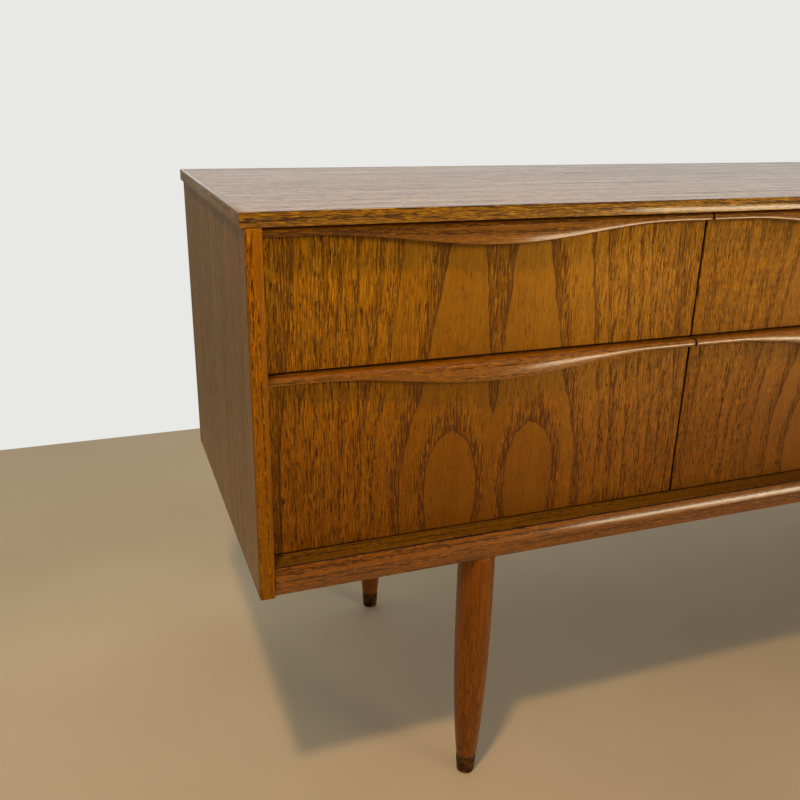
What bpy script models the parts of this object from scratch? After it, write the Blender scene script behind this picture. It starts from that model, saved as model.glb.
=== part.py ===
"""Long low dresser: six lipped drawers in three columns, on four turned legs.

The frame is metres with +Z up. The drawers face -Y, +X is the dresser's length, and the origin
is on the floor under the middle of the whole piece.
"""

import math

import bmesh
import bpy
from mathutils import Vector

# Driving dimensions, in metres
HEIGHT = 0.660
DEPTH = 0.422
COLUMN_PITCH = 0.4689
COLUMNS = ("left", "middle", "right")
GAP = 0.0003                    # between pieces that touch

TOP_THICKNESS = 0.0130
TOP_OVERHANG = 0.0033           # past each side panel
TOP_SETBACK = 0.0030            # behind the side panels' front edges
SIDE_THICKNESS = 0.0152
SIDE_BOTTOM = 0.2915
SIDE_ROUND = 0.0022
EDGE_ROUND = 0.0006             # eased edges of the boards
DIVIDER_THICKNESS = 0.0160
BOTTOM_THICKNESS = 0.0150
LEDGE_HEIGHT = 0.3242           # the bottom board's upper face, seen in front of the drawers
BACK_THICKNESS = 0.0040
BACK_INSET = 0.0015

RAIL_BOTTOM = 0.2945
RAIL_DEPTH = 0.0460
LIPPING_THICKNESS = 0.0025      # the strip on the front rail and the bottom board, at its top
LIPPING_ARRIS = 0.3100          # where its two facets meet

FACE_SETBACK = 0.0245           # drawer faces behind the side panels' front edges
FRONT_THICKNESS = 0.0180
FRONT_GAP = 0.0024              # between neighbouring drawer fronts
SIDE_GAP = 0.0015               # between a drawer front and a side panel
UPPER_FRONT = (0.5120, 0.6445)  # lower and upper edges of the drawer fronts
LOWER_FRONT = (0.3259, 0.5100)
DRAWER_LENGTH = 0.350           # from the back of the front to the back of the box
DRAWER_WALL = 0.0100
DRAWER_PLAY = 0.0010            # on each side of the drawer box
DRAWER_FLOOR_RISE = 0.0070      # under the drawer's bottom panel
PLY_THICKNESS = 0.0040
GROOVE_DEPTH = 0.0045
UPPER_BOX = (0.5188, 0.6300)    # lower and upper edges of the drawers' sides
LOWER_BOX = (0.3245, 0.4900)
RUNNER_SIZE = (0.0120, 0.3400, 0.0120)

LIP_TOP_DEPTH = 0.0062          # flat part of the lip's upper face
LIP_REACH = (0.0104, 0.0140)    # in front of the drawer's face, at the ends and in the middle
LIP_HEIGHT = (0.0074, 0.0220)
LIP_CEILING = (0.0068, 0.0085)  # underside of the lip behind its nose, below the top edge
LIP_NOSE = 0.0034               # thickness of the nose at its lower edge
LIP_WAVE = 0.190                # half the length of the wave
LIP_STATIONS = 28

LEG_INSET = 0.2380              # from the side panel's outer face to the leg's axis
LEG_FRONT_AXIS = 0.0205         # behind the side panels' front edges
LEG_BACK_AXIS = 0.3840
LEG_TOP_RADIUS = 0.0200
LEG_TAPER_POWER = 3.2           # how late the swelling taper turns in towards the foot
LEG_RINGS = 9
FOOT_RADIUS = 0.0102
FERRULE_HEIGHT = 0.0250
FERRULE_RADIUS = 0.0117         # at its rim
FERRULE_WALL = 0.0010
TENON_RADIUS = 0.0095
TURNED_STEPS = 28

# Derived places
CASE_WIDTH = len(COLUMNS) * COLUMN_PITCH + 2 * SIDE_THICKNESS
HALF_CASE = CASE_WIDTH / 2
HALF_INNER = HALF_CASE - SIDE_THICKNESS
CASE_FRONT = -DEPTH / 2
CASE_BACK = DEPTH / 2
UNDER_TOP = HEIGHT - TOP_THICKNESS
BACK_FACE = CASE_BACK - BACK_INSET - BACK_THICKNESS
BOARD_BACK = BACK_FACE - GAP
LEDGE_UNDERSIDE = LEDGE_HEIGHT - BOTTOM_THICKNESS
RAIL_TOP = LEDGE_UNDERSIDE - GAP
RAIL_FRONT = CASE_FRONT + LIPPING_THICKNESS + GAP
DRAWER_FACE = CASE_FRONT + FACE_SETBACK
FRONT_BACK = DRAWER_FACE + FRONT_THICKNESS
TENON_TOP = RAIL_TOP - 0.0005

FINISHES = {
    "teak_veneer": ((0.20, 0.085, 0.020, 1), 0.45, 0.0),
    "teak_solid": ((0.22, 0.075, 0.015, 1), 0.38, 0.0),
    "teak_front": ((0.25, 0.095, 0.018, 1), 0.40, 0.0),
    "teak_leg": ((0.13, 0.035, 0.008, 1), 0.32, 0.0),
    "drawer_wood": ((0.52, 0.34, 0.17, 1), 0.60, 0.0),
    "plywood": ((0.42, 0.27, 0.13, 1), 0.70, 0.0),
    "aged_brass": ((0.16, 0.09, 0.03, 1), 0.45, 1.0),
}


def new_collection(name):
    collection = bpy.data.collections.new(name)
    bpy.context.scene.collection.children.link(collection)
    return collection


def finish(name):
    material = bpy.data.materials.get(name)
    if material is None:
        colour, roughness, metallic = FINISHES[name]
        material = bpy.data.materials.new(name)
        material.use_nodes = True
        shader = material.node_tree.nodes["Principled BSDF"]
        shader.inputs["Base Color"].default_value = colour
        shader.inputs["Roughness"].default_value = roughness
        shader.inputs["Metallic"].default_value = metallic
        material.diffuse_color = colour
    return material


def add_object(name, mesh, collection, parent=None, place=(0, 0, 0)):
    """Link a mesh as an object whose world position is place."""
    piece = bpy.data.objects.new(name, mesh)
    collection.objects.link(piece)
    piece.location = Vector(place)
    if parent is not None:
        piece.parent = parent
        piece.location -= parent.location
    return piece


def box_mesh(name, size):
    mesh = bpy.data.meshes.new(name)
    bm = bmesh.new()
    bmesh.ops.create_cube(bm, size=1.0)
    bmesh.ops.scale(bm, vec=Vector(size), verts=bm.verts)
    bm.to_mesh(mesh)
    bm.free()
    return mesh


def board(name, low, high, surface, parent=None, round_edge=0.0, segments=1):
    """A board between two opposite corners, with eased edges."""
    low, high = Vector(low), Vector(high)
    mesh = box_mesh(name, high - low)
    mesh.materials.append(finish(surface))
    piece = add_object(name, mesh, PARTS, parent, (low + high) / 2)
    if round_edge > 0:
        bevel = piece.modifiers.new("eased edges", "BEVEL")
        bevel.width = round_edge
        bevel.segments = segments
        bevel.limit_method = "ANGLE"
    return piece


def cut(piece, cutter):
    """Subtract a cutter from a piece, and keep the cutter out of sight."""
    cutter.hide_render = True
    cutter.display_type = "WIRE"
    boolean = piece.modifiers.new("cut " + cutter.name, "BOOLEAN")
    boolean.operation = "DIFFERENCE"
    boolean.solver = "EXACT"
    boolean.object = cutter


def box_cutter(name, low, high, parent=None):
    low, high = Vector(low), Vector(high)
    return add_object(name, box_mesh(name, high - low), CUTTERS, parent, (low + high) / 2)


def hole_cutter(name, radius, centre, depth):
    mesh = bpy.data.meshes.new(name)
    bm = bmesh.new()
    bmesh.ops.create_cone(
        bm, cap_ends=True, segments=TURNED_STEPS, radius1=radius, radius2=radius, depth=depth
    )
    bm.to_mesh(mesh)
    bm.free()
    return add_object(name, mesh, CUTTERS, place=centre)


def smooth(mesh, angle=math.radians(35)):
    mesh.shade_smooth()
    mesh.set_sharp_from_angle(angle=angle)


def turned(name, profile, surface, place):
    """Turn a profile of (radius, height) points, listed down its outer side."""
    mesh = bpy.data.meshes.new(name)
    points = [(radius, 0, height) for radius, height in profile]
    edges = [(i, i + 1) for i in range(len(points) - 1)]
    mesh.from_pydata(points, edges, [])
    mesh.materials.append(finish(surface))
    piece = add_object(name, mesh, PARTS, place=place)
    screw = piece.modifiers.new("turning", "SCREW")
    screw.axis = "Z"
    screw.steps = TURNED_STEPS
    screw.render_steps = TURNED_STEPS
    screw.use_merge_vertices = True
    screw.merge_threshold = 0.00005
    screw.use_smooth_shade = True
    return piece


def column_edges(index):
    """The clear opening between two panels, and the drawer front's two ends, for one column."""
    left_line = -HALF_INNER + index * COLUMN_PITCH
    right_line = left_line + COLUMN_PITCH
    first, last = index == 0, index == len(COLUMNS) - 1
    clear = (
        left_line + (0 if first else DIVIDER_THICKNESS / 2),
        right_line - (0 if last else DIVIDER_THICKNESS / 2),
    )
    front = (
        left_line + (SIDE_GAP if first else FRONT_GAP / 2),
        right_line - (SIDE_GAP if last else FRONT_GAP / 2),
    )
    return clear, front


def make_top_and_sides():
    half_top = HALF_CASE + TOP_OVERHANG
    board(
        "top_board",
        (-half_top, CASE_FRONT + TOP_SETBACK, UNDER_TOP),
        (half_top, CASE_BACK, HEIGHT),
        "teak_veneer", round_edge=EDGE_ROUND, segments=2,
    )
    for name, outer, inner in (
        ("left_side_panel", -HALF_CASE, -HALF_INNER),
        ("right_side_panel", HALF_INNER, HALF_CASE),
    ):
        board(
            name,
            (outer, CASE_FRONT, SIDE_BOTTOM),
            (inner, CASE_BACK, UNDER_TOP - GAP),
            "teak_veneer", round_edge=SIDE_ROUND, segments=3,
        )


def make_inner_panels():
    reach = HALF_INNER - GAP
    board(
        "bottom_board",
        (-reach, RAIL_FRONT, LEDGE_UNDERSIDE),
        (reach, BOARD_BACK, LEDGE_HEIGHT),
        "teak_veneer",
    )
    board(
        "back_panel",
        (-reach, BACK_FACE, LEDGE_UNDERSIDE),
        (reach, BACK_FACE + BACK_THICKNESS, UNDER_TOP - GAP),
        "plywood",
    )
    for index in range(1, len(COLUMNS)):
        centre = -HALF_INNER + index * COLUMN_PITCH
        board(
            ("left_divider", "right_divider")[index - 1],
            (centre - DIVIDER_THICKNESS / 2, FRONT_BACK + GAP, LEDGE_HEIGHT + GAP),
            (centre + DIVIDER_THICKNESS / 2, BOARD_BACK, UNDER_TOP - GAP),
            "drawer_wood",
        )


def make_runners():
    """Battens on the panels, on which the upper drawers' sides slide."""
    width, length, height = RUNNER_SIZE
    top = UPPER_BOX[0] - GAP
    front = FRONT_BACK + 0.0015
    for index, column in enumerate(COLUMNS):
        clear, _ = column_edges(index)
        for hand, start in (("left", clear[0] + GAP), ("right", clear[1] - GAP - width)):
            board(
                f"{column}_column_{hand}_runner",
                (start, front, top - height),
                (start + width, front + length, top),
                "drawer_wood",
            )


def leg_places():
    x = HALF_CASE - LEG_INSET
    front, back = CASE_FRONT + LEG_FRONT_AXIS, CASE_FRONT + LEG_BACK_AXIS
    return {
        "front_left": (-x, front),
        "front_right": (x, front),
        "back_left": (-x, back),
        "back_right": (x, back),
    }


def make_rails():
    """The two rails that carry the legs, and the shaped strip along the front one."""
    reach = HALF_INNER - GAP
    back_rail_front = CASE_FRONT + LEG_BACK_AXIS - RAIL_DEPTH / 2
    for name, start in (("front", RAIL_FRONT), ("back", back_rail_front)):
        rail = board(
            name + "_rail",
            (-reach, start, RAIL_BOTTOM),
            (reach, start + RAIL_DEPTH, RAIL_TOP),
            "teak_solid",
        )
        for leg, (x, y) in leg_places().items():
            if leg.startswith(name):
                hole = hole_cutter(leg + "_leg_hole", TENON_RADIUS + GAP, (x, y, RAIL_BOTTOM), 0.05)
                cut(rail, hole)

    back = LIPPING_THICKNESS
    outline = [
        (back, RAIL_BOTTOM),
        (back, LEDGE_HEIGHT - 0.0002),
        (0.0018, LEDGE_HEIGHT - 0.0002),
        (0.0002, LIPPING_ARRIS + 0.0012),
        (0.0, LIPPING_ARRIS),
        (0.0002, LIPPING_ARRIS - 0.0012),
        (0.0008, RAIL_BOTTOM),
    ]
    strip = extruded("rail_lipping", outline, reach, "teak_solid")
    strip.location = (0, CASE_FRONT, 0)


def extruded(name, outline, half_length, surface):
    """A (Y, Z) outline drawn out along X, as a mesh."""
    curve = bpy.data.curves.new(name + " outline", "CURVE")
    curve.dimensions = "2D"
    curve.fill_mode = "BOTH"
    curve.extrude = half_length
    spline = curve.splines.new("POLY")
    spline.points.add(len(outline) - 1)
    for point, (y, z) in zip(spline.points, outline):
        point.co = (y, z, 0, 1)
    spline.use_cyclic_u = True
    drawn = bpy.data.objects.new(name + " outline", curve)
    CUTTERS.objects.link(drawn)
    drawn.rotation_euler = (math.pi / 2, 0, math.pi / 2)
    bpy.context.view_layer.update()
    mesh = bpy.data.meshes.new_from_object(drawn.evaluated_get(bpy.context.evaluated_depsgraph_get()))
    mesh.name = name
    mesh.transform(drawn.matrix_world)
    bpy.data.objects.remove(drawn)
    bm = bmesh.new()
    bm.from_mesh(mesh)
    bmesh.ops.remove_doubles(bm, verts=bm.verts, dist=0.00001)
    bmesh.ops.recalc_face_normals(bm, faces=bm.faces)
    bm.to_mesh(mesh)
    bm.free()
    mesh.materials.clear()
    mesh.materials.append(finish(surface))
    return add_object(name, mesh, PARTS)


def make_legs():
    """Swelled, tapered legs, each with a tenon in its rail and its foot in a brass ferrule."""
    shoulder = RAIL_BOTTOM - GAP
    socket_floor = FERRULE_WALL
    socket_top, socket_foot = FERRULE_RADIUS - FERRULE_WALL, FOOT_RADIUS - FERRULE_WALL
    wood_foot = FERRULE_HEIGHT + GAP
    taper_top = shoulder - 0.0006
    leg_profile = [
        (0, TENON_TOP),
        (TENON_RADIUS - 0.0010, TENON_TOP),
        (TENON_RADIUS, TENON_TOP - 0.0010),
        (TENON_RADIUS, shoulder),
        (LEG_TOP_RADIUS - 0.0006, shoulder),
    ]
    for ring in range(LEG_RINGS + 1):
        down = ring / LEG_RINGS
        swell = (LEG_TOP_RADIUS - FERRULE_RADIUS) * down**LEG_TAPER_POWER
        leg_profile.append((LEG_TOP_RADIUS - swell, taper_top + (wood_foot - taper_top) * down))
    leg_profile += [
        (socket_top - GAP, wood_foot),
        (socket_foot - GAP, socket_floor + GAP),
        (0, socket_floor + GAP),
    ]
    ferrule_profile = [
        (0, socket_floor),
        (socket_foot, socket_floor),
        (socket_top, FERRULE_HEIGHT),
        (FERRULE_RADIUS, FERRULE_HEIGHT),
        (FERRULE_RADIUS + 0.0002, FERRULE_HEIGHT - 0.0010),
        (FOOT_RADIUS, 0.0008),
        (FOOT_RADIUS - 0.0008, 0),
        (0, 0),
    ]
    for name, (x, y) in leg_places().items():
        turned(name + "_leg", leg_profile, "teak_leg", (x, y, 0))
        turned(name + "_ferrule", ferrule_profile, "aged_brass", (x, y, 0))


def blend(pair, share):
    return pair[0] + (pair[1] - pair[0]) * share


def lip_section(share):
    """Points round a lip's section, as (reach in front of the face, drop below the top edge).

    share is 0 at a drawer's ends, where the lip is a plain bead, and 1 in its middle, where the
    nose hangs down in front of a finger groove.
    """
    reach, height, ceiling = blend(LIP_REACH, share), blend(LIP_HEIGHT, share), blend(LIP_CEILING, share)
    shoulder = min(0.45 * height, 0.0060)
    width = reach - LIP_TOP_DEPTH - 0.0006 * share
    points = [(GAP, 0.0), (LIP_TOP_DEPTH, 0.0)]
    for step in range(1, 5):
        angle = step * math.pi / 8
        points.append((LIP_TOP_DEPTH + width * math.sin(angle), shoulder * (1 - math.cos(angle))))
    edge = 0.0011
    for step in range(3):
        angle = step * math.pi / 4
        points.append((reach - edge + edge * math.cos(angle), height - edge + edge * math.sin(angle)))
    inner = reach - LIP_NOSE
    groove = height - ceiling
    points.append((inner, height))
    points.append((inner - 0.0008 * share, ceiling + 0.35 * groove))
    points.append((inner - 0.0025 * share - 0.0004, ceiling + 0.08 * groove))
    points.append((inner - 0.0045 * share - 0.0010, ceiling))
    points.append((GAP, ceiling))
    return points


def make_lip(name, start, end, top_edge, parent):
    """Loft the lip's changing section from one end of the drawer front to the other."""
    middle = (start + end) / 2
    bm = bmesh.new()
    rings = []
    for station in range(LIP_STATIONS + 1):
        x = start + (end - start) * station / LIP_STATIONS
        share = 0.5 + 0.5 * math.cos(math.pi * min(1, abs(x - middle) / LIP_WAVE))
        ring = [bm.verts.new((x, -reach, -drop)) for reach, drop in lip_section(share)]
        rings.append(ring)
    count = len(rings[0])
    for ring, after in zip(rings, rings[1:]):
        for i in range(count):
            j = (i + 1) % count
            bm.faces.new((ring[i], after[i], after[j], ring[j]))
    bm.faces.new(rings[0])
    bm.faces.new(reversed(rings[-1]))
    bmesh.ops.recalc_face_normals(bm, faces=bm.faces)
    bmesh.ops.translate(bm, verts=bm.verts, vec=(-middle, 0, 0))
    mesh = bpy.data.meshes.new(name)
    bm.to_mesh(mesh)
    bm.free()
    mesh.materials.append(finish("teak_solid"))
    smooth(mesh)
    return add_object(name, mesh, PARTS, parent, (middle, DRAWER_FACE, top_edge))


def make_drawer(name, clear, front, front_span, box_span):
    """One drawer: its front, lip, two sides, back and bottom panel, on an empty that slides."""
    slide = bpy.data.objects.new(name, None)
    PARTS.objects.link(slide)
    slide.location = ((front[0] + front[1]) / 2, DRAWER_FACE, front_span[0])

    box_low, box_high = box_span
    left, right = clear[0] + DRAWER_PLAY, clear[1] - DRAWER_PLAY
    side_start = FRONT_BACK + GAP
    box_end = FRONT_BACK + DRAWER_LENGTH
    floor_low = box_low + DRAWER_FLOOR_RISE
    floor_high = floor_low + PLY_THICKNESS
    groove_low, groove_high = floor_low - GAP, floor_high + GAP
    inner_left, inner_right = left + DRAWER_WALL, right - DRAWER_WALL

    face = board(
        name + "_front",
        (front[0], DRAWER_FACE, front_span[0]),
        (front[1], FRONT_BACK, front_span[1]),
        "teak_front", slide, round_edge=EDGE_ROUND,
    )
    left_wall = board(
        name + "_left_side",
        (left, side_start, box_low), (inner_left, box_end, box_high),
        "drawer_wood", slide,
    )
    right_wall = board(
        name + "_right_side",
        (inner_right, side_start, box_low), (right, box_end, box_high),
        "drawer_wood", slide,
    )
    groove = box_cutter(
        name + "_groove",
        (inner_left - GROOVE_DEPTH, FRONT_BACK - GROOVE_DEPTH, groove_low),
        (inner_right + GROOVE_DEPTH, box_end + 0.01, groove_high),
        slide,
    )
    for piece in (face, left_wall, right_wall):
        cut(piece, groove)
    board(
        name + "_bottom",
        (inner_left - GROOVE_DEPTH + GAP, FRONT_BACK - GROOVE_DEPTH + GAP, floor_low),
        (inner_right + GROOVE_DEPTH - GAP, box_end, floor_high),
        "plywood", slide,
    )
    board(
        name + "_back",
        (inner_left + GAP, box_end - DRAWER_WALL, floor_high + GAP),
        (inner_right - GAP, box_end, box_high - 0.006),
        "drawer_wood", slide,
    )
    make_lip(name + "_lip", front[0], front[1], front_span[1], slide)


def make_drawers():
    rows = (("upper", UPPER_FRONT, UPPER_BOX), ("lower", LOWER_FRONT, LOWER_BOX))
    for row, front_span, box_span in rows:
        for index, column in enumerate(COLUMNS):
            clear, front = column_edges(index)
            make_drawer(f"{row}_{column}_drawer", clear, front, front_span, box_span)


for old in list(bpy.data.objects):
    bpy.data.objects.remove(old)
PARTS = new_collection("dresser")
CUTTERS = new_collection("cutters")
make_top_and_sides()
make_inner_panels()
make_runners()
make_rails()
make_legs()
make_drawers()
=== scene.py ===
"""The looks of the long low dresser: veneers, lippings, shaped lips, turned legs and brass.

Everything is in metres in the CAD frame: +X along the length, +Y to the back, +Z up.
"""

import math

import bmesh
import bpy
from mathutils import Matrix, Vector


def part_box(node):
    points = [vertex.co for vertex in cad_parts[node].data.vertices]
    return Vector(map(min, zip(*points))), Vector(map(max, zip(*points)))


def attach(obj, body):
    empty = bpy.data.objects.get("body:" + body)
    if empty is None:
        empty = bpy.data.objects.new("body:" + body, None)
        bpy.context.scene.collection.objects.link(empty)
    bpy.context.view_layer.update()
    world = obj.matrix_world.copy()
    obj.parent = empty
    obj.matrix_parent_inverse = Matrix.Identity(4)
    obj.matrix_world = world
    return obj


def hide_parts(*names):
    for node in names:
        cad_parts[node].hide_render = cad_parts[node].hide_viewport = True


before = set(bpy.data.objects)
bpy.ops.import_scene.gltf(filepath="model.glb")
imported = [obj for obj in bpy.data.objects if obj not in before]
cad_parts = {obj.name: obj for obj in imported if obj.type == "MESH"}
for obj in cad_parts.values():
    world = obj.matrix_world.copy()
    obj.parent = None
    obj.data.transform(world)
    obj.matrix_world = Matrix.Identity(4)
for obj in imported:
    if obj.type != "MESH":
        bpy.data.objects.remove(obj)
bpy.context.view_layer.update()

COLUMNS = ("left", "middle", "right")
ROWS = ("upper", "lower")
DRAWERS = [f"{row}_{column}_drawer" for row in ROWS for column in COLUMNS]
LEGS = ("front_left", "front_right", "back_left", "back_right")
FACES = {(0, -1): "left", (0, 1): "right", (1, -1): "front", (1, 1): "back", (2, -1): "bottom"}
JOINT_LINE = 0.00008            # glue lines between lippings and panels
LIPPING = 0.0045                # thickness of the solid strips on the boards' edges

# The drawers' lips: (at a drawer's ends, in its middle)
LIP_TOP_DEPTH = 0.0062
LIP_REACH = (0.0104, 0.0140)
LIP_HEIGHT = (0.0074, 0.0220)
LIP_CEILING = (0.0068, 0.0085)
LIP_NOSE = 0.0034
LIP_WAVE = 0.190
LIP_STATIONS = 120

# The drawer fronts' veneer figure, on each side of a column's middle
HEART_PLACE = 0.046             # from the column's middle to the heart of the crown
HEART_LEAN = 0.067              # how much it leans to the middle, per metre of height
HEART_LEAN_FROM = 0.44          # the height it starts to lean from
ARCH_TOP = 0.433                # height of the innermost arch
ARCH_WIDEST = 0.375             # height where that arch is widest
ARCH_WIDTH = 0.030              # half its width there
ARCH_CONE = 0.0077              # how fast the rings close over, in square metres a metre
RING_EDGES = (-0.0012, 0.0, 0.0022, 0.0062, 0.0088, 0.0131, 0.0168, 0.0206, 0.0248, 0.0303, 0.0453)

# Wood colours: (light, dark, pores)
FRONT_TEAK = ((0.262, 0.086, 0.002), (0.200, 0.061, 0.002), (0.036, 0.007, 0.005))
VENEER_TEAK = ((0.340, 0.178, 0.050), (0.140, 0.064, 0.013), (0.030, 0.012, 0.005))
SIDE_TEAK = ((0.280, 0.146, 0.036), (0.175, 0.088, 0.021), (0.062, 0.027, 0.011))
LIPPING_TEAK = ((0.280, 0.096, 0.001), (0.200, 0.061, 0.001), (0.045, 0.011, 0.003))
SOLID_TEAK = ((0.235, 0.078, 0.001), (0.165, 0.050, 0.001), (0.060, 0.017, 0.002))
TOP_EDGE_TEAK = ((0.265, 0.118, 0.005), (0.175, 0.069, 0.003), (0.040, 0.014, 0.004))
LEDGE_TEAK = ((0.160, 0.068, 0.003), (0.070, 0.024, 0.002), (0.024, 0.007, 0.003))
RAIL_TEAK = ((0.235, 0.068, 0.001), (0.145, 0.038, 0.001), (0.050, 0.013, 0.002))
LEG_TEAK = ((0.250, 0.066, 0.001), (0.145, 0.034, 0.001), (0.034, 0.008, 0.002))
# Edges inside the gaps: darker end grain, made darker still as painted shade so the gaps look dark
EDGE_GRAIN_AND_SHADE_TEAK = ((0.040, 0.016, 0.006), (0.022, 0.009, 0.004), (0.010, 0.005, 0.003))
BEECH = ((0.62, 0.43, 0.25), (0.52, 0.34, 0.18), (0.33, 0.18, 0.09))
PLY = ((0.56, 0.40, 0.23), (0.44, 0.29, 0.15), (0.28, 0.16, 0.08))
# Painted highlight: glints of sheen between the pores, painted into the base colour
PAINTED_GLINT = 1.9                     # how much brighter the gleams between pores are than the light wood

# Finishes: constants for the shader's own sockets, and a range of roughness
AMBER = (1.0, 0.78, 0.36, 1.0)
VARNISH = {"Specular_Tint": AMBER, "Coat_Weight": 0.75, "Coat_Roughness": 0.13}
WAX = {"Specular_Tint": (1.0, 0.95, 0.82, 1.0), "Coat_Weight": 0.34, "Coat_Roughness": 0.21}
DULL_OIL = {"Specular_Tint": AMBER, "Specular_IOR_Level": 0.30}
SHINY = (0.30, 0.42)

# The floor, and the room around it: what the camera sees of it, and the light from each side
FLOOR_CORNERS = ((-4.0, -4.0), (4.0, 1.0))
FLOOR_COLOURS = ((0.70, 0.585, 0.40), (0.65, 0.535, 0.36))
ROOM_SEEN = (0.81, 0.81, 0.79)
ROOM_FRONT = (0.06, 0.052, 0.036)
ROOM_BACK = (0.90, 0.90, 0.87)
ROOM_TOP = (0.36, 0.35, 0.32)
ROOM_BELOW = (0.20, 0.165, 0.11)

# Lights and the camera: some are placed from the floor below the case's left front corner
KEY_POWER, FILL_POWER, LOW_PANEL_POWER = 12.5, 3.3, 11.0
KEY_COLOUR, FILL_COLOUR, LOW_PANEL_COLOUR = (1.0, 0.66, 0.34), (1.0, 0.91, 0.70), (1.0, 0.86, 0.62)
KEY_TARGET_FROM_CORNER = (0.4, 0.1, 0.4)
KEY_DIRECTION, KEY_DISTANCE = (-0.143, -0.131, 0.294), 1.7
FILL_PLACE, FILL_TARGET = (0.9, -2.05, 1.40), (-0.35, -0.2, 1.02)
LOW_PANEL_PLACE, LOW_PANEL_TARGET = (1.24, -2.05, 0.14), (-0.3, -0.2, 0.14)
CAMERA_FROM_CORNER = (-0.1231, -0.7035, 0.7536)
CAMERA_TURN = (1.2247, -0.0175, -0.3504)
CAMERA_LENS = 38.25

# The strip along the front, the legs and their brass
RAIL_ARRIS = 0.3100             # height of the line where the strip's two facets meet
RAIL_TOP_DROP = 0.0012          # how far the strip stays below the bottom board's top
RAIL_STATIONS = 24
FERRULE_WALL = 0.0010
FOOT_RADIUS = 0.0102
TENON_RADIUS = 0.0095
LEG_TAPER_POWER = 3.2           # a high power keeps the leg full and tapers it late
LEG_RINGS = 40
TURNED_STEPS = 96


# --- Materials ---------------------------------------------------------------------------


class Surface:
    """A material under construction, with short calls for its nodes."""

    def __init__(self, name):
        self.material = bpy.data.materials.new(name)
        self.material.use_nodes = True
        self.nodes = self.material.node_tree.nodes
        self.links = self.material.node_tree.links
        self.shader = self.nodes["Principled BSDF"]
        self.x, self.y, self.z = self.split(self.add("ShaderNodeTexCoord").outputs["Object"])

    def add(self, kind, **settings):
        node = self.nodes.new(kind)
        for name, value in settings.items():
            setattr(node, name, value)
        return node

    def feed(self, socket, value):
        if isinstance(value, bpy.types.NodeSocket):
            self.links.new(value, socket)
        else:
            socket.default_value = value

    def split(self, vector):
        node = self.add("ShaderNodeSeparateXYZ")
        self.feed(node.inputs[0], vector)
        return node.outputs

    def math(self, operation, *values):
        node = self.add("ShaderNodeMath", operation=operation)
        for socket, value in zip(node.inputs, values):
            self.feed(socket, value)
        return node.outputs[0]

    def plus(self, first, second):
        return self.math("ADD", first, second)

    def times(self, first, second):
        return self.math("MULTIPLY", first, second)

    def smooth(self, value, low, high, start=0.0, end=1.0):
        """Goes smoothly from start to end as value goes from low to high."""
        node = self.add("ShaderNodeMapRange", interpolation_type="SMOOTHSTEP")
        for socket, number in zip(node.inputs, (value, low, high, start, end)):
            self.feed(socket, number)
        return node.outputs[0]

    def noise(self, place, scales, detail=2.0, roughness=0.5, distortion=0.0):
        """Noise over a place (three values), stretched by one scale along each."""
        vector = self.add("ShaderNodeCombineXYZ")
        for socket, value, scale in zip(vector.inputs, place, scales):
            self.feed(socket, self.times(value, scale))
        node = self.add("ShaderNodeTexNoise")
        self.feed(node.inputs["Vector"], vector.outputs[0])
        node.inputs["Scale"].default_value = 1.0
        node.inputs["Detail"].default_value = detail
        node.inputs["Roughness"].default_value = roughness
        node.inputs["Distortion"].default_value = distortion
        return node.outputs["Fac"]

    def mix(self, share, first, second):
        node = self.add("ShaderNodeMix", data_type="RGBA")
        self.feed(node.inputs["Factor"], share)
        for socket, colour in zip((node.inputs[6], node.inputs[7]), (first, second)):
            self.feed(socket, colour if isinstance(colour, bpy.types.NodeSocket) else (*colour, 1))
        return node.outputs[2]

    def mix_value(self, share, first, second):
        node = self.add("ShaderNodeMix", data_type="FLOAT")
        for socket, value in zip((node.inputs[0], node.inputs[2], node.inputs[3]), (share, first, second)):
            self.feed(socket, value)
        return node.outputs[0]

    def shade(self, colour, hue, brightness):
        """Turns a colour's hue by a share of a circle, and multiplies its brightness."""
        node = self.add("ShaderNodeHueSaturation")
        self.feed(node.inputs["Hue"], self.plus(hue, 0.5))
        self.feed(node.inputs["Value"], brightness)
        self.feed(node.inputs["Color"], colour)
        return node.outputs[0]

    def finish(self, colour, roughness, height=None, depth=0.0002, **constants):
        self.feed(self.shader.inputs["Base Color"], colour)
        self.feed(self.shader.inputs["Roughness"], roughness)
        for name, value in constants.items():
            self.shader.inputs[name.replace("_", " ")].default_value = value
        if height is not None:
            bump = self.add("ShaderNodeBump")
            bump.inputs["Strength"].default_value = 1.0
            bump.inputs["Distance"].default_value = depth
            self.feed(bump.inputs["Height"], height)
            self.feed(self.shader.inputs["Normal"], bump.outputs[0])
        return self.material


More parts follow.
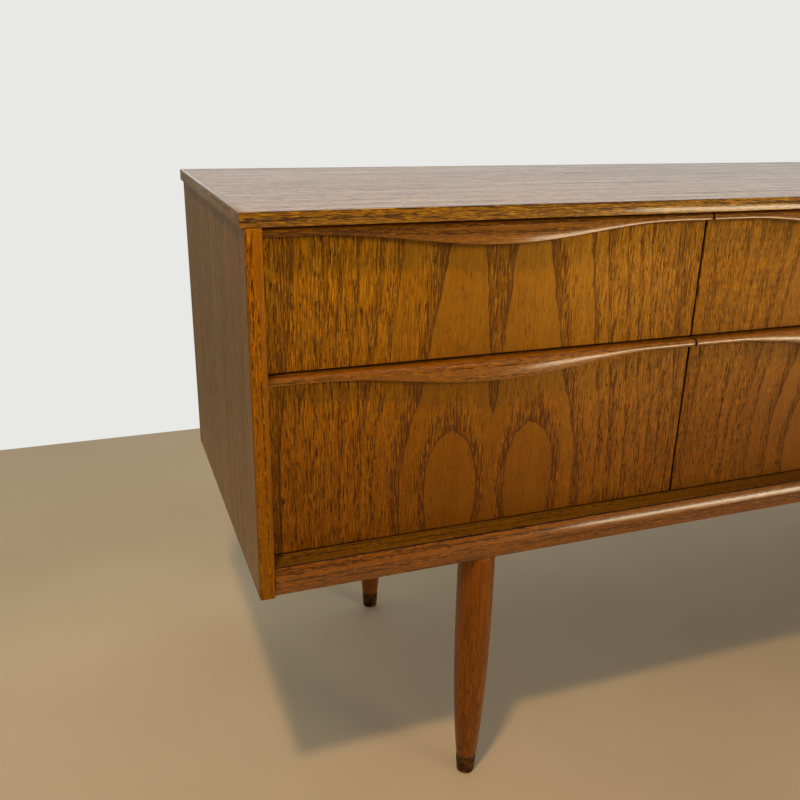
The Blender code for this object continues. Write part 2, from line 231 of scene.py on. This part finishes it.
def lay_grain(surface, place, palette, density, gloss=(0.36, 0.50), pore_scales=(1350, 95)):
    """Wood along the third value of place: broad bands, fibres, and pores as dense as density."""
    across_scale, along_scale = pore_scales
    bands = surface.noise(place, (30, 30, 1.1), detail=3)
    fibres = surface.noise(place, (620, 620, 11), detail=3, roughness=0.65)
    fine_pores = surface.noise(place, (across_scale, across_scale, along_scale), detail=1)
    long_pores = surface.noise(place, (across_scale * 0.7, across_scale * 0.7, along_scale * 0.3), detail=2)
    tone = surface.plus(surface.times(bands, 0.5), surface.times(fibres, 0.5))
    light, dark, pore = palette
    wood = surface.mix(surface.smooth(tone, 0.38, 0.62), light, dark)
    # Painted highlight: specks of sheen between the pores, painted as a colour brighter than the light wood
    painted_glints = surface.noise(place, (across_scale * 1.1, across_scale, along_scale * 0.8), detail=2)
    painted_glints = surface.smooth(painted_glints, 0.48, 0.60)
    most = surface.math("MINIMUM", surface.plus(surface.times(density, 1.5), 0.10), 0.95)
    wood = surface.mix(surface.times(painted_glints, most), wood, tuple(PAINTED_GLINT * value for value in light))
    threshold = surface.plus(0.70, surface.times(density, -0.22))
    short = surface.smooth(fine_pores, threshold, surface.plus(threshold, 0.035))
    long = surface.smooth(long_pores, threshold, surface.plus(threshold, 0.04))
    pores = surface.math("MAXIMUM", short, long)
    colour = surface.mix(surface.times(pores, 0.95), wood, pore)
    rough = surface.plus(
        surface.smooth(fibres, 0.3, 0.7, gloss[0], gloss[1]), surface.times(pores, 0.15)
    )
    height = surface.plus(surface.times(fibres, 0.25), surface.times(pores, -0.75))
    return colour, rough, height


def straight_teak(
    name, along, palette, density=0.35, gloss=(0.36, 0.50), fineness=1.0, relief=1.0, **constants
):
    """Straight-grained teak whose grain runs along one axis: 0, 1 or 2."""
    surface = Surface(name)
    axes = [surface.x, surface.y, surface.z]
    place = [axis for i, axis in enumerate(axes) if i != along] + [axes[along]]
    stripes = surface.noise(place, (280, 280, 2.6), detail=2)
    dense = surface.plus(density, surface.smooth(stripes, 0.42, 0.68, -0.25, 0.50))
    scales = (1350 * fineness, 110 * fineness)
    colour, rough, height = lay_grain(surface, place, palette, dense, gloss, scales)
    return surface.finish(colour, rough, height, depth=0.00015 * relief, **constants)


def count_rings(surface, place):
    """Growth rings crossed on the way out from the heart of a leaf's crown figure.

    The squared distance from the heart line falls towards the arch's widest level, so that
    the rings close over above it, and open into upright lines further out.
    """
    across, leaf, up = place
    wander = surface.plus(surface.noise(place, (15, 1.5, 7), detail=2), -0.5)
    ripple = surface.plus(surface.noise(place, (160, 2.0, 60), detail=3, roughness=0.6), -0.5)
    rise = surface.math("MAXIMUM", surface.plus(up, -HEART_LEAN_FROM), 0)
    heart = surface.plus(HEART_PLACE, surface.times(rise, -HEART_LEAN))
    offset = surface.math("SUBTRACT", across, heart)
    offset = surface.plus(offset, surface.plus(surface.times(wander, 0.013), surface.times(ripple, 0.0034)))
    above = surface.math("MAXIMUM", surface.plus(up, -ARCH_TOP), 0)
    cone = surface.plus(surface.times(above, ARCH_CONE), surface.smooth(above, 0, 0.045, 0, 0.0005))
    from_widest = surface.plus(up, -ARCH_WIDEST)
    from_widest = surface.math(
        "MAXIMUM", surface.times(from_widest, 1 / (ARCH_TOP - ARCH_WIDEST)), surface.times(from_widest, -10)
    )
    fullness = surface.math("POWER", surface.math("MINIMUM", from_widest, 1), 1.7)
    fullness = surface.plus(1, surface.times(fullness, -1))
    cone = surface.plus(cone, surface.times(fullness, -ARCH_WIDTH**2))
    drift = surface.plus(surface.noise(place, (60, 3.0, 40), detail=2), -0.5)
    cone = surface.plus(cone, surface.times(drift, 0.00022))
    spread = surface.plus(surface.times(offset, offset), cone)
    total = None
    for inner, outer in zip(RING_EDGES, RING_EDGES[1:]):
        node = surface.add("ShaderNodeMapRange", clamp=True)
        for socket, number in zip(node.inputs, (spread, inner, outer, 0.0, 1.0)):
            surface.feed(socket, number)
        step = node.outputs[0]
        total = step if total is None else surface.plus(total, step)
    return total


def crown_veneer(name, column_low, column_pitch):
    """Book-matched crown-cut teak: two mirrored leaves a column, each with nested arches."""
    surface = Surface(name)
    turns = surface.times(surface.plus(surface.x, -column_low), 1 / column_pitch)
    column = surface.math("FLOOR", turns)
    signed = surface.times(surface.plus(surface.math("FRACT", turns), -0.5), column_pitch)
    across = surface.math("ABSOLUTE", signed)
    leaf = surface.plus(surface.times(column, 0.37), surface.times(surface.math("SIGN", signed), 0.05))
    place = (across, leaf, surface.z)
    rings = count_rings(surface, place)
    share = surface.math("FRACT", rings)
    inside = surface.smooth(rings, 0.93, 1.0)
    porous = surface.plus(
        surface.smooth(share, 0.0, 0.42, 0.60, 0.0), surface.smooth(share, 0.05, 0.90, 0.40, 0.0)
    )
    outer = surface.smooth(across, 0.06, 0.17)
    stripes = surface.smooth(surface.noise(place, (360, 1, 2.8), detail=2), 0.36, 0.62)
    uneven = surface.smooth(surface.noise(place, (30, 1, 1.8), detail=2), 0.38, 0.60, 0.25, 1.0)
    uneven = surface.mix_value(outer, 1.0, surface.times(uneven, 0.7))
    ringed = surface.times(surface.times(porous, inside), uneven)
    between = surface.plus(surface.times(outer, 0.50), 0.05)
    between = surface.times(between, surface.plus(0.55, surface.times(stripes, 0.45)))
    density = surface.math("MINIMUM", surface.plus(ringed, between), 0.80)
    colour, rough, height = lay_grain(surface, place, FRONT_TEAK, density, (0.42, 0.56), (1550, 110))
    edge = surface.times(surface.smooth(share, 0.0, 0.08, 1.0, 0.0), inside)
    broken = surface.smooth(surface.noise(place, (900, 1, 110), detail=2), 0.36, 0.55)
    line = surface.times(edge, surface.plus(0.38, surface.times(broken, 0.57)))
    patchy = surface.smooth(surface.noise(place, (38, 1, 2.2), detail=2), 0.40, 0.58, 0.15, 1.0)
    line = surface.times(line, surface.mix_value(outer, 1.0, patchy))
    colour = surface.mix(line, colour, FRONT_TEAK[2])
    early = surface.times(surface.smooth(share, 0.15, 1.0, 0.30, 0.0), inside)
    colour = surface.mix(early, colour, FRONT_TEAK[1])
    joint = surface.smooth(across, 0.0002, 0.0007, 0.45, 0.0)
    colour = surface.mix(joint, colour, FRONT_TEAK[1])
    # Painted light: the veneer grows brighter and slightly more golden towards the top, standing in for the
    # light and sheen that fall more on the upper drawers
    painted_light_rise = surface.smooth(surface.z, 0.36, 0.60)
    brightness = surface.plus(0.82, surface.times(painted_light_rise, 0.30))
    colour = surface.shade(colour, surface.times(painted_light_rise, 0.012), brightness)
    return surface.finish(colour, rough, height, depth=0.00015, **DULL_OIL)


def turned_teak(name, palette):
    """Leg wood: fine upright grain, with a few dark handling marks low down."""
    surface = Surface(name)
    place = (surface.x, surface.y, surface.z)
    stripes = surface.smooth(surface.noise(place, (420, 420, 4), detail=2), 0.42, 0.66)
    density = surface.times(stripes, 0.55)
    colour, rough, height = lay_grain(surface, place, palette, density, (0.28, 0.40), (1500, 70))
    streaks = surface.smooth(surface.noise(place, (700, 700, 7), detail=2), 0.50, 0.66, 0.0, 0.55)
    colour = surface.mix(streaks, colour, palette[1])
    scuffs = surface.smooth(surface.noise(place, (110, 110, 60), detail=3), 0.62, 0.67)
    low = surface.smooth(surface.z, 0.06, 0.14, 0.55, 0.0)
    colour = surface.mix(surface.times(scuffs, low), colour, palette[2])
    return surface.finish(colour, rough, height, depth=0.00010, Specular_Tint=AMBER)


def pale_wood(name, along, light, dark, fleck):
    """Bare beech or plywood: pale and even, with short flecks along the grain."""
    surface = Surface(name)
    axes = [surface.x, surface.y, surface.z]
    place = [axis for i, axis in enumerate(axes) if i != along] + [axes[along]]
    bands = surface.noise(place, (24, 24, 0.9), detail=3)
    fibres = surface.noise(place, (380, 380, 12), detail=3)
    tone = surface.plus(surface.times(bands, 0.6), surface.times(fibres, 0.4))
    wood = surface.mix(surface.smooth(tone, 0.38, 0.62), light, dark)
    flecks = surface.smooth(surface.noise(place, (900, 900, 150), detail=1), 0.64, 0.72)
    colour = surface.mix(surface.times(flecks, 0.5), wood, fleck)
    rough = surface.smooth(fibres, 0.3, 0.7, 0.55, 0.70)
    return surface.finish(colour, rough, fibres, depth=0.00008)


def aged_brass(name, top):
    """Tarnished brass, rubbed bright round the rim of the foot."""
    surface = Surface(name)
    place = (surface.x, surface.y, surface.z)
    blotches = surface.noise(place, (130, 130, 90), detail=4, roughness=0.6)
    rings = surface.noise(place, (2, 2, 2600), detail=1)
    tarnish = surface.smooth(blotches, 0.36, 0.62)
    colour = surface.mix(tarnish, (0.150, 0.068, 0.014), (0.055, 0.022, 0.006))
    rubbed = surface.smooth(surface.plus(surface.z, surface.times(blotches, 0.004)), 0.0015, 0.0050, 1.0, 0.0)
    colour = surface.mix(surface.times(rubbed, 0.8), colour, (0.50, 0.33, 0.11))
    rim = surface.smooth(surface.z, top - 0.0012, top - 0.0004)
    colour = surface.mix(surface.times(rim, 0.35), colour, (0.36, 0.22, 0.08))
    rough = surface.plus(surface.smooth(blotches, 0.3, 0.7, 0.38, 0.62), surface.times(rubbed, -0.12))
    return surface.finish(colour, rough, rings, depth=0.00003, Metallic=0.85)


def steel(name):
    """Dull steel with rusty specks, for the pin heads."""
    surface = Surface(name)
    place = (surface.x, surface.y, surface.z)
    spots = surface.noise(place, (900, 900, 900), detail=3)
    colour = surface.mix(surface.smooth(spots, 0.4, 0.65), (0.42, 0.40, 0.38), (0.20, 0.15, 0.11))
    return surface.finish(colour, surface.smooth(spots, 0.3, 0.7, 0.35, 0.6), Metallic=0.9)


# --- Shapes ------------------------------------------------------------------------------


def add_piece(name, bm, material, body, nodes=(), sharp=35, edges=None):
    """Make a bmesh into a shaded piece that rides on a body and stands for CAD nodes.

    edges is (axis, limit): faces whose normal has less than limit along axis get the dark edge wood: darker
    end grain, made darker still as painted shade for the gaps.
    """
    bmesh.ops.recalc_face_normals(bm, faces=bm.faces)
    if edges:
        axis, limit = edges
        for face in bm.faces:
            face.material_index = int(abs(face.normal[axis]) < limit)
    mesh = bpy.data.meshes.new(name)
    bm.to_mesh(mesh)
    bm.free()
    mesh.materials.append(material)
    if edges:
        mesh.materials.append(edge_grain_and_shade_wood)
    mesh.shade_smooth()
    mesh.set_sharp_from_angle(angle=math.radians(sharp))
    piece = bpy.data.objects.new(name, mesh)
    bpy.context.scene.collection.objects.link(piece)
    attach(piece, body)
    if nodes:
        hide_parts(*nodes)
    return piece


def ease_edges(bm, width, segments=3, angle=30):
    """Round every edge between faces that meet at more than an angle."""
    edges = [e for e in bm.edges if e.is_manifold and e.calc_face_angle(0) > math.radians(angle)]
    bmesh.ops.bevel(
        bm, geom=edges, offset=width, segments=segments, profile=0.5, affect="EDGES", clamp_overlap=True
    )


def board_shape(low, high, ease, segments=3):
    """A plain board between two corners, with eased edges."""
    bm = bmesh.new()
    size = high - low
    bmesh.ops.create_cube(bm, size=1.0)
    bmesh.ops.scale(bm, vec=size, verts=bm.verts)
    bmesh.ops.translate(bm, vec=(low + high) / 2, verts=bm.verts)
    ease_edges(bm, ease, segments)
    return bm


def refined(node, name, material, body, ease=0.0005, edges=None):
    """A CAD board again, with its corners welded and its edges rounded."""
    bm = bmesh.new()
    bm.from_mesh(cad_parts[node].data)
    bmesh.ops.remove_doubles(bm, verts=bm.verts, dist=0.00001)
    bmesh.ops.dissolve_limit(
        bm, angle_limit=math.radians(1), verts=bm.verts, edges=bm.edges
    )
    ease_edges(bm, ease)
    return add_piece(name, bm, material, body, (node,), edges=edges)


def turned_shape(profile, centre):
    """Turn (radius, height) points, listed from the top down, about an upright axis."""
    bm = bmesh.new()
    points = [bm.verts.new((radius, 0, height)) for radius, height in profile]
    edges = [bm.edges.new(pair) for pair in zip(points, points[1:])]
    bmesh.ops.spin(
        bm, geom=points + edges, cent=(0, 0, 0), axis=(0, 0, 1), angle=2 * math.pi,
        steps=TURNED_STEPS, use_merge=True,
    )
    bmesh.ops.remove_doubles(bm, verts=bm.verts, dist=0.000001)
    bmesh.ops.translate(bm, vec=centre, verts=bm.verts)
    return bm


def blend(pair, share):
    """The value that is a share of the way from the first of a pair to the second."""
    return pair[0] + (pair[1] - pair[0]) * share


def arc(centre, radii, start, end, steps):
    """Points on an ellipse's arc, with angles in degrees from the first axis."""
    points = []
    for step in range(steps + 1):
        angle = math.radians(start + (end - start) * step / steps)
        points.append((centre[0] + radii[0] * math.cos(angle), centre[1] + radii[1] * math.sin(angle)))
    return points


def lip_section(share):
    """Points round a lip, as (reach, drop). share is 0 at the drawer's ends and 1 in its middle."""
    reach, height = blend(LIP_REACH, share), blend(LIP_HEIGHT, share)
    ceiling = blend(LIP_CEILING, share)
    shoulder = min(0.45 * height, 0.0060)
    width = reach - LIP_TOP_DEPTH - 0.0006 * share
    edge = 0.0011
    inner = reach - LIP_NOSE
    groove = height - ceiling
    points = [(0.0003, 0.0), (0.0030, 0.0)]
    points += arc((LIP_TOP_DEPTH, shoulder), (width, shoulder), -90, -12, 8)
    points += arc((reach - edge, height - edge), (edge, edge), 0, 90, 5)
    points += arc((inner + 0.0004, height - 0.0004), (0.0004, 0.0004), 90, 180, 2)
    points += [
        (inner - 0.0008 * share, ceiling + 0.35 * groove),
        (inner - 0.0015 * share - 0.0002, ceiling + 0.18 * groove),
        (inner - 0.0025 * share - 0.0004, ceiling + 0.08 * groove),
        (inner - 0.0035 * share - 0.0007, ceiling + 0.02 * groove),
        (inner - 0.0045 * share - 0.0010, ceiling),
        (0.0003, ceiling),
    ]
    return points


def make_front(drawer, veneer, top_wood):
    """A drawer's front: veneer on its faces, brown teak along its top, and dark other edges: darker end
    grain, with painted shade for the gaps.
    """
    name = drawer + "_veneered_front"
    front = refined(drawer + "_front", name, veneer, drawer, edges=(1, 0.35))
    front.data.materials.append(top_wood)
    for face in front.data.polygons:
        if face.normal.z > 0.7:
            face.material_index = 2


def make_lip(drawer, material):
    """A lip lofted along the drawer: thin at the ends, deep and hollow below in the middle."""
    node = drawer + "_lip"
    low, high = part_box(node)
    face = low.y + LIP_REACH[1]
    middle = (low.x + high.x) / 2
    bm = bmesh.new()
    rings = []
    for station in range(LIP_STATIONS + 1):
        x = low.x + (high.x - low.x) * station / LIP_STATIONS
        share = 0.5 + 0.5 * math.cos(math.pi * min(1, abs(x - middle) / LIP_WAVE))
        rings.append([bm.verts.new((x, face - out, high.z - drop)) for out, drop in lip_section(share)])
    count = len(rings[0])
    for ring, after in zip(rings, rings[1:]):
        for i in range(count):
            j = (i + 1) % count
            bm.faces.new((ring[i], after[i], after[j], ring[j]))
    for cap in (bm.faces.new(rings[0]), bm.faces.new(reversed(rings[-1]))):
        bmesh.ops.bevel(
            bm, geom=list(cap.edges), offset=0.0003, segments=2, profile=0.5, affect="EDGES",
            clamp_overlap=True,
        )
    piece = add_piece(drawer + "_pull", bm, material, drawer, (node,), sharp=40)
    # The lip's end caps take the dark edge wood: darker end grain, with painted shade for the gaps between
    # lips
    piece.data.materials.append(edge_grain_and_shade_wood)
    for face in piece.data.polygons:
        face.material_index = int(abs(face.normal.x) > 0.5)


def make_lipped_board(name, node, edge_axes, panel, strips):
    """A board as a veneered panel inside solid strips: one strip on each named face.

    edge_axes lists (axis, side) in the order the strips overlap: the first runs right through.
    """
    low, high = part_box(node)
    inner_low, inner_high = low.copy(), high.copy()
    thin = min((0, 1, 2), key=lambda axis: high[axis] - low[axis])
    for axis, side in edge_axes:
        strip_low, strip_high = inner_low.copy(), inner_high.copy()
        if side < 0:
            strip_high[axis] = strip_low[axis] + LIPPING
            inner_low[axis] += LIPPING + JOINT_LINE
        else:
            strip_low[axis] = strip_high[axis] - LIPPING
            inner_high[axis] -= LIPPING + JOINT_LINE
        runs = next(i for i in (0, 1, 2) if i not in (axis, thin))
        shape = board_shape(strip_low, strip_high, strip_ease(name, axis, side))
        add_piece(f"{name}_{FACES[axis, side]}_lipping", shape, strips[runs], "case", ())
    shape = board_shape(inner_low, inner_high, 0.00012, 1)
    add_piece(f"{name}_panel", shape, panel, "case", (node,))


def strip_ease(name, axis, side):
    """Side panels have well rounded front and bottom edges; the top's are crisp."""
    if name.endswith("side") and (axis, side) in ((1, -1), (2, -1)):
        return 0.0020
    return 0.0005


def make_rail_lipping(material):
    """The shaped strip along the front: two shallow facets that meet in a rounded arris."""
    low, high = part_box("rail_lipping")
    back = high.y
    top = high.z - RAIL_TOP_DROP
    outline = [(back, low.z + 0.0004), (back, top), (low.y + 0.0021, top)]
    outline += [(low.y + 0.0018, top - 0.0004), (low.y + 0.0003, RAIL_ARRIS + 0.0018)]
    outline += [(low.y + 0.00008, RAIL_ARRIS + 0.0007), (low.y, RAIL_ARRIS)]
    outline += [(low.y + 0.00006, RAIL_ARRIS - 0.0007), (low.y + 0.0002, RAIL_ARRIS - 0.0018)]
    outline += [(low.y + 0.0008, low.z + 0.0006), (low.y + 0.0011, low.z)]
    bm = bmesh.new()
    rings = []
    for station in range(RAIL_STATIONS + 1):
        x = low.x + (high.x - low.x) * station / RAIL_STATIONS
        rings.append([bm.verts.new((x, y, z)) for y, z in outline])
    count = len(outline)
    for ring, after in zip(rings, rings[1:]):
        for i in range(count):
            j = (i + 1) % count
            bm.faces.new((ring[i], after[i], after[j], ring[j]))
    bm.faces.new(rings[0])
    bm.faces.new(reversed(rings[-1]))
    add_piece("shaped_rail_lipping", bm, material, "case", ("rail_lipping",), sharp=50)


def make_leg(leg, wood, brass):
    """A swelled leg with a tenon up in its rail, and the thin brass cup on its foot."""
    low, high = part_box(leg + "_leg")
    ring_low, ring_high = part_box(leg + "_ferrule")
    centre = Vector(((low.x + high.x) / 2, (low.y + high.y) / 2, 0))
    top_radius = (high.x - low.x) / 2
    rim = (ring_high.x - ring_low.x) / 2 - 0.0002
    rim_height = ring_high.z
    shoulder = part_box("front_rail")[0].z - 0.0003
    profile = [(0, high.z), (TENON_RADIUS - 0.0007, high.z)]
    profile += [(TENON_RADIUS, high.z - 0.0007), (TENON_RADIUS, shoulder)]
    profile += [(top_radius - 0.0006, shoulder), (top_radius - 0.0002, shoulder - 0.0002)]
    for ring in range(LEG_RINGS + 1):
        down = ring / LEG_RINGS
        radius = top_radius - (top_radius - rim) * down**LEG_TAPER_POWER
        profile.append((radius, shoulder - 0.0006 + (rim_height + 0.0003 - shoulder + 0.0006) * down))
    profile += [(rim - FERRULE_WALL - 0.0003, rim_height + 0.0003)]
    profile += [(FOOT_RADIUS - 0.0013, 0.0013), (0, 0.0013)]
    shape = turned_shape(profile, centre)
    add_piece(leg + "_turned_leg", shape, wood, "case", (leg + "_leg",))

    profile = [(0, FERRULE_WALL), (FOOT_RADIUS - FERRULE_WALL, FERRULE_WALL)]
    profile += [(rim - FERRULE_WALL, rim_height), (rim - 0.0003, rim_height), (rim, rim_height - 0.0002)]
    for ring in range(1, 9):
        down = ring / 9
        bulge = 0.0002 * math.sin(math.pi * down)
        radius = blend((rim, FOOT_RADIUS), down) + bulge
        profile.append((radius, rim_height * (1 - down) + 0.0010 * down))
    profile += arc((FOOT_RADIUS - 0.0010, 0.0010), (0.0010, 0.0010), 0, -90, 4)
    profile.append((0, 0))
    shape = turned_shape(profile, centre)
    add_piece(leg + "_turned_ferrule", shape, brass, "case", (leg + "_ferrule",))


def dome(bm, place, normal, radius, height):
    """A low round pin head on a surface."""
    made = bmesh.ops.create_uvsphere(bm, u_segments=12, v_segments=8, radius=1.0)["verts"]
    turn = Vector((0, 0, 1)).rotation_difference(normal).to_matrix().to_4x4()
    grow = Matrix.Diagonal((radius, radius, height, 1))
    bmesh.ops.transform(bm, matrix=Matrix.Translation(place) @ turn @ grow, verts=made)


def spaced(start, end, spacing):
    """Evenly spaced places from start to end, about spacing apart."""
    count = max(1, round(abs(end - start) / spacing))
    return [start + (end - start) * i / count for i in range(count + 1)]


def make_back_pins(material):
    """Panel pins round the back panel and into the dividers and bottom board."""
    low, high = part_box("back_panel")
    edge = 0.006
    bm = bmesh.new()
    rows = (low.z + edge, high.z - edge)
    columns = [low.x + edge, high.x - edge]
    columns += [(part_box(d)[0].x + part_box(d)[1].x) / 2 for d in ("left_divider", "right_divider")]
    places = {(x, z) for z in rows for x in spaced(low.x + edge, high.x - edge, 0.11)}
    places |= {(x, z) for x in columns for z in spaced(rows[0], rows[1], 0.10)}
    for x, z in sorted(places):
        dome(bm, Vector((x, high.y, z)), Vector((0, 1, 0)), 0.0013, 0.0004)
    add_piece("back_panel_pins", bm, material, "case")


def make_drawer_pins(drawer, material):
    """Pins through the drawer's sides into its back, and up through its bottom."""
    bm = bmesh.new()
    back_low, back_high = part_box(drawer + "_back")
    middle = (back_low.y + back_high.y) / 2
    for node, outward in (("_left_side", -1), ("_right_side", 1)):
        low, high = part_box(drawer + node)
        face = low.x if outward < 0 else high.x
        for z in spaced(back_low.z + 0.012, back_high.z - 0.010, 0.05):
            dome(bm, Vector((face, middle, z)), Vector((outward, 0, 0)), 0.0012, 0.0003)
    floor_low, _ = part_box(drawer + "_bottom")
    for x in spaced(back_low.x + 0.02, back_high.x - 0.02, 0.10):
        dome(bm, Vector((x, middle, floor_low.z)), Vector((0, 0, -1)), 0.0012, 0.0003)
    add_piece(drawer + "_pins", bm, material, drawer)


# --- The dresser -------------------------------------------------------------------------


def column_line():
    """The left end of the first column, and the distance from one column to the next."""
    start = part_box("left_side_panel")[1].x
    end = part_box("right_side_panel")[0].x
    return start, (end - start) / len(COLUMNS)


veneer_along = straight_teak(
    "teak_veneer_long_grain", 0, VENEER_TEAK, 0.42, (0.22, 0.42), relief=1.9, **WAX
)
veneer_up = straight_teak("teak_veneer_upright", 2, SIDE_TEAK, 0.25, (0.40, 0.56), 1.2)
solid_grain = {
    0: straight_teak("solid_teak_long", 0, SOLID_TEAK, 0.45, SHINY, 1.35, **VARNISH),
    1: straight_teak("solid_teak_deep", 1, LIPPING_TEAK, 0.30, fineness=1.35, Specular_Tint=AMBER),
    2: straight_teak("solid_teak_upright", 2, LIPPING_TEAK, 0.25, fineness=1.35, **DULL_OIL),
}
rail_wood = straight_teak("rail_teak", 0, RAIL_TEAK, 0.48, SHINY, 1.3, **VARNISH)
# Painted shade: faces inside the gaps get end grain darkened further to stand in for their shade
edge_grain_and_shade_wood = straight_teak("board_edges_grain_and_painted_shade", 0, EDGE_GRAIN_AND_SHADE_TEAK, 0.3, (0.55, 0.70), Specular_IOR_Level=0.2)
ledge_wood = straight_teak("teak_ledge", 0, LEDGE_TEAK, 0.35, fineness=1.3, **DULL_OIL)
top_edge_grain = {
    0: straight_teak("top_edge_long", 0, TOP_EDGE_TEAK, 0.62, SHINY, **VARNISH),
    1: straight_teak("top_edge_deep", 1, TOP_EDGE_TEAK, 0.55, SHINY, **VARNISH),
}
front_veneer = crown_veneer("book_matched_teak", *column_line())
leg_wood = turned_teak("turned_teak", LEG_TEAK)
beech = {axis: pale_wood(f"beech_{'xyz'[axis]}", axis, *BEECH) for axis in (0, 1, 2)}
plywood = pale_wood("plywood", 0, *PLY)
brass = aged_brass("aged_brass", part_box("front_left_ferrule")[1].z)
pin_steel = steel("pin_steel")

SIDES_OF_TOP = ((1, -1), (1, 1), (0, -1), (0, 1))
SIDES_OF_END = ((1, -1), (1, 1), (2, -1))
make_lipped_board("top", "top_board", SIDES_OF_TOP, veneer_along, top_edge_grain)
for hand in ("left", "right"):
    make_lipped_board(hand + "_side", hand + "_side_panel", SIDES_OF_END, veneer_up, solid_grain)
    refined(hand + "_divider", hand + "_divider_board", beech[2], "case")
refined("bottom_board", "bottom_and_ledge", ledge_wood, "case", ease=0.0007, edges=(2, 0.8))
refined("back_panel", "back_plywood", plywood, "case")
for column in COLUMNS:
    for hand in ("left", "right"):
        node = f"{column}_column_{hand}_runner"
        refined(node, node + "_strip", beech[1], "case", ease=0.0008)
for node in ("front_rail", "back_rail"):
    refined(node, node + "_board", rail_wood, "case", ease=0.0006)
make_rail_lipping(rail_wood)
make_back_pins(pin_steel)
for leg in LEGS:
    make_leg(leg, leg_wood, brass)
for drawer in DRAWERS:
    make_front(drawer, front_veneer, ledge_wood)
    make_lip(drawer, solid_grain[0])
    for hand in ("left", "right"):
        node = f"{drawer}_{hand}_side"
        refined(node, node + "_board", beech[1], drawer, ease=0.0012)
    refined(drawer + "_back", drawer + "_back_board", beech[0], drawer, ease=0.0010)
    refined(drawer + "_bottom", drawer + "_bottom_panel", plywood, drawer, ease=0.0003)
    make_drawer_pins(drawer, pin_steel)


# --- Floor, light and camera -------------------------------------------------------------


def left_front_corner():
    """The place on the floor below the case's left front corner."""
    low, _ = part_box("left_side_panel")
    return Vector((low.x, low.y, 0))


def make_floor():
    """A plain floor that ends a little way behind the dresser."""
    mesh = bpy.data.meshes.new("floor")
    bm = bmesh.new()
    (left, front), (right, back) = FLOOR_CORNERS
    corners = [(left, front), (right, front), (right, back), (left, back)]
    bm.faces.new([bm.verts.new((x, y, 0)) for x, y in corners])
    bm.to_mesh(mesh)
    bm.free()
    surface = Surface("pale_floor")
    tone = surface.noise((surface.x, surface.y, surface.z), (3, 3, 3), detail=3)
    colour = surface.mix(surface.smooth(tone, 0.3, 0.7), *FLOOR_COLOURS)
    mesh.materials.append(surface.finish(colour, 0.6))
    floor = bpy.data.objects.new("floor", mesh)
    bpy.context.scene.collection.objects.link(floor)


def area_light(name, place, target, size, power, colour):
    """A rectangular lamp aimed at a target, which the camera doesn't see."""
    light = bpy.data.lights.new(name, "AREA")
    light.shape = "RECTANGLE"
    light.size, light.size_y = size
    light.energy = power
    light.color = colour
    lamp = bpy.data.objects.new(name, light)
    lamp.location = place
    lamp.rotation_euler = (Vector(target) - Vector(place)).to_track_quat("-Z", "Y").to_euler()
    lamp.visible_camera = False
    bpy.context.scene.collection.objects.link(lamp)
    return light


def make_world():
    """A pale room that lights the dresser: bright behind it, dimmer and warmer elsewhere.

    The background is one plain pale colour, whichever way it is seen.
    """
    world = bpy.data.worlds.new("studio")
    world.use_nodes = True
    nodes, links = world.node_tree.nodes, world.node_tree.links
    direction = nodes.new("ShaderNodeSeparateXYZ")
    links.new(nodes.new("ShaderNodeTexCoord").outputs["Generated"], direction.inputs[0])
    colour = None
    for axis, low, high, before, after in (
        ("Y", -0.12, 0.60, ROOM_FRONT, ROOM_BACK),
        ("Z", 0.25, 0.60, None, ROOM_TOP),
        ("Z", -0.04, 0.0, ROOM_BELOW, None),
    ):
        share = nodes.new("ShaderNodeMapRange")
        share.interpolation_type = "SMOOTHSTEP"
        share.inputs["From Min"].default_value = low
        share.inputs["From Max"].default_value = high
        links.new(direction.outputs[axis], share.inputs["Value"])
        mix = nodes.new("ShaderNodeMix")
        mix.data_type = "RGBA"
        links.new(share.outputs[0], mix.inputs["Factor"])
        for socket, value in zip((mix.inputs[6], mix.inputs[7]), (before, after)):
            if value is None:
                links.new(colour, socket)
            else:
                socket.default_value = (*value, 1)
        colour = mix.outputs[2]
    seen = nodes.new("ShaderNodeLightPath").outputs["Is Camera Ray"]
    plain = nodes.new("ShaderNodeMix")
    plain.data_type = "RGBA"
    links.new(seen, plain.inputs["Factor"])
    links.new(colour, plain.inputs[6])
    plain.inputs[7].default_value = (*ROOM_SEEN, 1)
    links.new(plain.outputs[2], nodes["Background"].inputs["Color"])
    bpy.context.scene.world = world


def make_lights():
    """A small warm lamp above the left front, a broad one on the right, and a low warm panel."""
    target = left_front_corner() + Vector(KEY_TARGET_FROM_CORNER)
    place = target + KEY_DISTANCE * Vector(KEY_DIRECTION).normalized()
    area_light("key", place, target, (0.12, 0.12), KEY_POWER, KEY_COLOUR)
    fill = area_light("fill", FILL_PLACE, FILL_TARGET, (0.8, 0.6), FILL_POWER, FILL_COLOUR)
    fill.spread = math.radians(44)
    bpy.data.objects["fill"].visible_glossy = False
    place, target = LOW_PANEL_PLACE, LOW_PANEL_TARGET
    area_light("low_panel", place, target, (1.0, 0.27), LOW_PANEL_POWER, LOW_PANEL_COLOUR)


def make_camera():
    """The viewpoint: standing at the front left, looking down at the near end."""
    camera = bpy.data.objects.new("camera", bpy.data.cameras.new("camera"))
    camera.location = left_front_corner() + Vector(CAMERA_FROM_CORNER)
    camera.rotation_euler = CAMERA_TURN
    camera.data.lens = CAMERA_LENS
    camera.data.clip_start = 0.01
    bpy.context.scene.collection.objects.link(camera)
    bpy.context.scene.camera = camera


make_floor()
make_world()
make_lights()
make_camera()
bpy.context.scene.view_settings.view_transform = "Standard"
